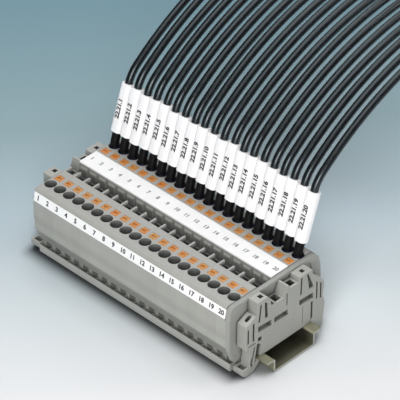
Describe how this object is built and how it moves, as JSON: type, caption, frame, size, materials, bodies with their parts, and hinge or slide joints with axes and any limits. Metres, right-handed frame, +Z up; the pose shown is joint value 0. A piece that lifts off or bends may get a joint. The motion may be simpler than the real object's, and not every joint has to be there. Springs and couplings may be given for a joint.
{
  "type": "din rail terminal block strip",
  "caption": "Strip of push-in feed-through terminal blocks on a top-hat rail, with end cover, end clamps, marker strips, release buttons and a wired rear side.",
  "frame": {"origin": "middle of the rail length, on the rail centre line, at the rail underside", "axes": "+X along the rail from the first terminal block to the end cover, +Y across the rail to the wired side, +Z up away from the mounting surface"},
  "size_m": [0.15, 0.161, 0.116],
  "materials": {
    "grey_polyamide": "fine satin moulding",
    "grey_polyamide_cover": "fine satin moulding",
    "grey_polyamide_clamp": "satin moulding",
    "passivated_steel": "yellow passivated zinc",
    "tinned_copper": "tin plated",
    "spring_steel": "bright spring steel",
    "white_marker": "matt white",
    "black_pvc": "satin PVC",
    "bare_copper": "bare stranded copper",
    "dark_blue_collar": "smooth",
    "white_sleeve": "satin",
    "orange_button": "smooth moulding"
  },
  "bodies": {
    "strip": {"terminal_housings": "grey_polyamide", "current_bars": "tinned_copper", "front_clamp_springs": "spring_steel", "rear_clamp_springs": "spring_steel", "end_cover": "grey_polyamide_cover", "end_clamp_left": "grey_polyamide_clamp", "end_clamp_right": "grey_polyamide_clamp", "din_rail": "passivated_steel", "front_marker_strip": "white_marker", "center_marker_strip": "white_marker", "wire_insulation": "black_pvc", "wire_cores": "bare_copper", "ferrule_tubes": "tinned_copper", "ferrule_collars": "dark_blue_collar", "wire_marker_sleeves": "white_sleeve"},
    "front_button_01": {"front_release_button_01": "orange_button"},
    "front_button_02": {"front_release_button_02": "orange_button"},
    "front_button_03": {"front_release_button_03": "orange_button"},
    "front_button_04": {"front_release_button_04": "orange_button"},
    "front_button_05": {"front_release_button_05": "orange_button"},
    "front_button_06": {"front_release_button_06": "orange_button"},
    "front_button_07": {"front_release_button_07": "orange_button"},
    "front_button_08": {"front_release_button_08": "orange_button"},
    "front_button_09": {"front_release_button_09": "orange_button"},
    "front_button_10": {"front_release_button_10": "orange_button"},
    "front_button_11": {"front_release_button_11": "orange_button"},
    "front_button_12": {"front_release_button_12": "orange_button"},
    "front_button_13": {"front_release_button_13": "orange_button"},
    "front_button_14": {"front_release_button_14": "orange_button"},
    "front_button_15": {"front_release_button_15": "orange_button"},
    "front_button_16": {"front_release_button_16": "orange_button"},
    "front_button_17": {"front_release_button_17": "orange_button"},
    "front_button_18": {"front_release_button_18": "orange_button"},
    "front_button_19": {"front_release_button_19": "orange_button"},
    "front_button_20": {"front_release_button_20": "orange_button"},
    "rear_button_01": {"rear_release_button_01": "orange_button"},
    "rear_button_02": {"rear_release_button_02": "orange_button"},
    "rear_button_03": {"rear_release_button_03": "orange_button"},
    "rear_button_04": {"rear_release_button_04": "orange_button"},
    "rear_button_05": {"rear_release_button_05": "orange_button"},
    "rear_button_06": {"rear_release_button_06": "orange_button"},
    "rear_button_07": {"rear_release_button_07": "orange_button"},
    "rear_button_08": {"rear_release_button_08": "orange_button"},
    "rear_button_09": {"rear_release_button_09": "orange_button"},
    "rear_button_10": {"rear_release_button_10": "orange_button"},
    "rear_button_11": {"rear_release_button_11": "orange_button"},
    "rear_button_12": {"rear_release_button_12": "orange_button"},
    "rear_button_13": {"rear_release_button_13": "orange_button"},
    "rear_button_14": {"rear_release_button_14": "orange_button"},
    "rear_button_15": {"rear_release_button_15": "orange_button"},
    "rear_button_16": {"rear_release_button_16": "orange_button"},
    "rear_button_17": {"rear_release_button_17": "orange_button"},
    "rear_button_18": {"rear_release_button_18": "orange_button"},
    "rear_button_19": {"rear_release_button_19": "orange_button"},
    "rear_button_20": {"rear_release_button_20": "orange_button"}
  },
  "joints": [
    {"name": "front_press_01", "type": "slide", "parent": "strip", "child": "front_button_01", "axis": [0, 0, -1], "range_m": [0, 0.002], "stiffness_N_per_m": 80, "springref_m": -0.0005, "deforming": ["front_clamp_springs"]},
    {"name": "front_press_02", "type": "slide", "parent": "strip", "child": "front_button_02", "axis": [0, 0, -1], "range_m": [0, 0.002], "stiffness_N_per_m": 80, "springref_m": -0.0005, "deforming": ["front_clamp_springs"]},
    {"name": "front_press_03", "type": "slide", "parent": "strip", "child": "front_button_03", "axis": [0, 0, -1], "range_m": [0, 0.002], "stiffness_N_per_m": 80, "springref_m": -0.0005, "deforming": ["front_clamp_springs"]},
    {"name": "front_press_04", "type": "slide", "parent": "strip", "child": "front_button_04", "axis": [0, 0, -1], "range_m": [0, 0.002], "stiffness_N_per_m": 80, "springref_m": -0.0005, "deforming": ["front_clamp_springs"]},
    {"name": "front_press_05", "type": "slide", "parent": "strip", "child": "front_button_05", "axis": [0, 0, -1], "range_m": [0, 0.002], "stiffness_N_per_m": 80, "springref_m": -0.0005, "deforming": ["front_clamp_springs"]},
    {"name": "front_press_06", "type": "slide", "parent": "strip", "child": "front_button_06", "axis": [0, 0, -1], "range_m": [0, 0.002], "stiffness_N_per_m": 80, "springref_m": -0.0005, "deforming": ["front_clamp_springs"]},
    {"name": "front_press_07", "type": "slide", "parent": "strip", "child": "front_button_07", "axis": [0, 0, -1], "range_m": [0, 0.002], "stiffness_N_per_m": 80, "springref_m": -0.0005, "deforming": ["front_clamp_springs"]},
    {"name": "front_press_08", "type": "slide", "parent": "strip", "child": "front_button_08", "axis": [0, 0, -1], "range_m": [0, 0.002], "stiffness_N_per_m": 80, "springref_m": -0.0005, "deforming": ["front_clamp_springs"]},
    {"name": "front_press_09", "type": "slide", "parent": "strip", "child": "front_button_09", "axis": [0, 0, -1], "range_m": [0, 0.002], "stiffness_N_per_m": 80, "springref_m": -0.0005, "deforming": ["front_clamp_springs"]},
    {"name": "front_press_10", "type": "slide", "parent": "strip", "child": "front_button_10", "axis": [0, 0, -1], "range_m": [0, 0.002], "stiffness_N_per_m": 80, "springref_m": -0.0005, "deforming": ["front_clamp_springs"]},
    {"name": "front_press_11", "type": "slide", "parent": "strip", "child": "front_button_11", "axis": [0, 0, -1], "range_m": [0, 0.002], "stiffness_N_per_m": 80, "springref_m": -0.0005, "deforming": ["front_clamp_springs"]},
    {"name": "front_press_12", "type": "slide", "parent": "strip", "child": "front_button_12", "axis": [0, 0, -1], "range_m": [0, 0.002], "stiffness_N_per_m": 80, "springref_m": -0.0005, "deforming": ["front_clamp_springs"]},
    {"name": "front_press_13", "type": "slide", "parent": "strip", "child": "front_button_13", "axis": [0, 0, -1], "range_m": [0, 0.002], "stiffness_N_per_m": 80, "springref_m": -0.0005, "deforming": ["front_clamp_springs"]},
    {"name": "front_press_14", "type": "slide", "parent": "strip", "child": "front_button_14", "axis": [0, 0, -1], "range_m": [0, 0.002], "stiffness_N_per_m": 80, "springref_m": -0.0005, "deforming": ["front_clamp_springs"]},
    {"name": "front_press_15", "type": "slide", "parent": "strip", "child": "front_button_15", "axis": [0, 0, -1], "range_m": [0, 0.002], "stiffness_N_per_m": 80, "springref_m": -0.0005, "deforming": ["front_clamp_springs"]},
    {"name": "front_press_16", "type": "slide", "parent": "strip", "child": "front_button_16", "axis": [0, 0, -1], "range_m": [0, 0.002], "stiffness_N_per_m": 80, "springref_m": -0.0005, "deforming": ["front_clamp_springs"]},
    {"name": "front_press_17", "type": "slide", "parent": "strip", "child": "front_button_17", "axis": [0, 0, -1], "range_m": [0, 0.002], "stiffness_N_per_m": 80, "springref_m": -0.0005, "deforming": ["front_clamp_springs"]},
    {"name": "front_press_18", "type": "slide", "parent": "strip", "child": "front_button_18", "axis": [0, 0, -1], "range_m": [0, 0.002], "stiffness_N_per_m": 80, "springref_m": -0.0005, "deforming": ["front_clamp_springs"]},
    {"name": "front_press_19", "type": "slide", "parent": "strip", "child": "front_button_19", "axis": [0, 0, -1], "range_m": [0, 0.002], "stiffness_N_per_m": 80, "springref_m": -0.0005, "deforming": ["front_clamp_springs"]},
    {"name": "front_press_20", "type": "slide", "parent": "strip", "child": "front_button_20", "axis": [0, 0, -1], "range_m": [0, 0.002], "stiffness_N_per_m": 80, "springref_m": -0.0005, "deforming": ["front_clamp_springs"]},
    {"name": "rear_press_01", "type": "slide", "parent": "strip", "child": "rear_button_01", "axis": [0, 0, -1], "range_m": [0, 0.002], "stiffness_N_per_m": 80, "springref_m": -0.0005, "deforming": ["rear_clamp_springs"]},
    {"name": "rear_press_02", "type": "slide", "parent": "strip", "child": "rear_button_02", "axis": [0, 0, -1], "range_m": [0, 0.002], "stiffness_N_per_m": 80, "springref_m": -0.0005, "deforming": ["rear_clamp_springs"]},
    {"name": "rear_press_03", "type": "slide", "parent": "strip", "child": "rear_button_03", "axis": [0, 0, -1], "range_m": [0, 0.002], "stiffness_N_per_m": 80, "springref_m": -0.0005, "deforming": ["rear_clamp_springs"]},
    {"name": "rear_press_04", "type": "slide", "parent": "strip", "child": "rear_button_04", "axis": [0, 0, -1], "range_m": [0, 0.002], "stiffness_N_per_m": 80, "springref_m": -0.0005, "deforming": ["rear_clamp_springs"]},
    {"name": "rear_press_05", "type": "slide", "parent": "strip", "child": "rear_button_05", "axis": [0, 0, -1], "range_m": [0, 0.002], "stiffness_N_per_m": 80, "springref_m": -0.0005, "deforming": ["rear_clamp_springs"]},
    {"name": "rear_press_06", "type": "slide", "parent": "strip", "child": "rear_button_06", "axis": [0, 0, -1], "range_m": [0, 0.002], "stiffness_N_per_m": 80, "springref_m": -0.0005, "deforming": ["rear_clamp_springs"]},
    {"name": "rear_press_07", "type": "slide", "parent": "strip", "child": "rear_button_07", "axis": [0, 0, -1], "range_m": [0, 0.002], "stiffness_N_per_m": 80, "springref_m": -0.0005, "deforming": ["rear_clamp_springs"]},
    {"name": "rear_press_08", "type": "slide", "parent": "strip", "child": "rear_button_08", "axis": [0, 0, -1], "range_m": [0, 0.002], "stiffness_N_per_m": 80, "springref_m": -0.0005, "deforming": ["rear_clamp_springs"]},
    {"name": "rear_press_09", "type": "slide", "parent": "strip", "child": "rear_button_09", "axis": [0, 0, -1], "range_m": [0, 0.002], "stiffness_N_per_m": 80, "springref_m": -0.0005, "deforming": ["rear_clamp_springs"]},
    {"name": "rear_press_10", "type": "slide", "parent": "strip", "child": "rear_button_10", "axis": [0, 0, -1], "range_m": [0, 0.002], "stiffness_N_per_m": 80, "springref_m": -0.0005, "deforming": ["rear_clamp_springs"]},
    {"name": "rear_press_11", "type": "slide", "parent": "strip", "child": "rear_button_11", "axis": [0, 0, -1], "range_m": [0, 0.002], "stiffness_N_per_m": 80, "springref_m": -0.0005, "deforming": ["rear_clamp_springs"]},
    {"name": "rear_press_12", "type": "slide", "parent": "strip", "child": "rear_button_12", "axis": [0, 0, -1], "range_m": [0, 0.002], "stiffness_N_per_m": 80, "springref_m": -0.0005, "deforming": ["rear_clamp_springs"]},
    {"name": "rear_press_13", "type": "slide", "parent": "strip", "child": "rear_button_13", "axis": [0, 0, -1], "range_m": [0, 0.002], "stiffness_N_per_m": 80, "springref_m": -0.0005, "deforming": ["rear_clamp_springs"]},
    {"name": "rear_press_14", "type": "slide", "parent": "strip", "child": "rear_button_14", "axis": [0, 0, -1], "range_m": [0, 0.002], "stiffness_N_per_m": 80, "springref_m": -0.0005, "deforming": ["rear_clamp_springs"]},
    {"name": "rear_press_15", "type": "slide", "parent": "strip", "child": "rear_button_15", "axis": [0, 0, -1], "range_m": [0, 0.002], "stiffness_N_per_m": 80, "springref_m": -0.0005, "deforming": ["rear_clamp_springs"]},
    {"name": "rear_press_16", "type": "slide", "parent": "strip", "child": "rear_button_16", "axis": [0, 0, -1], "range_m": [0, 0.002], "stiffness_N_per_m": 80, "springref_m": -0.0005, "deforming": ["rear_clamp_springs"]},
    {"name": "rear_press_17", "type": "slide", "parent": "strip", "child": "rear_button_17", "axis": [0, 0, -1], "range_m": [0, 0.002], "stiffness_N_per_m": 80, "springref_m": -0.0005, "deforming": ["rear_clamp_springs"]},
    {"name": "rear_press_18", "type": "slide", "parent": "strip", "child": "rear_button_18", "axis": [0, 0, -1], "range_m": [0, 0.002], "stiffness_N_per_m": 80, "springref_m": -0.0005, "deforming": ["rear_clamp_springs"]},
    {"name": "rear_press_19", "type": "slide", "parent": "strip", "child": "rear_button_19", "axis": [0, 0, -1], "range_m": [0, 0.002], "stiffness_N_per_m": 80, "springref_m": -0.0005, "deforming": ["rear_clamp_springs"]},
    {"name": "rear_press_20", "type": "slide", "parent": "strip", "child": "rear_button_20", "axis": [0, 0, -1], "range_m": [0, 0.002], "stiffness_N_per_m": 80, "springref_m": -0.0005, "deforming": ["rear_clamp_springs"]}
  ]
}
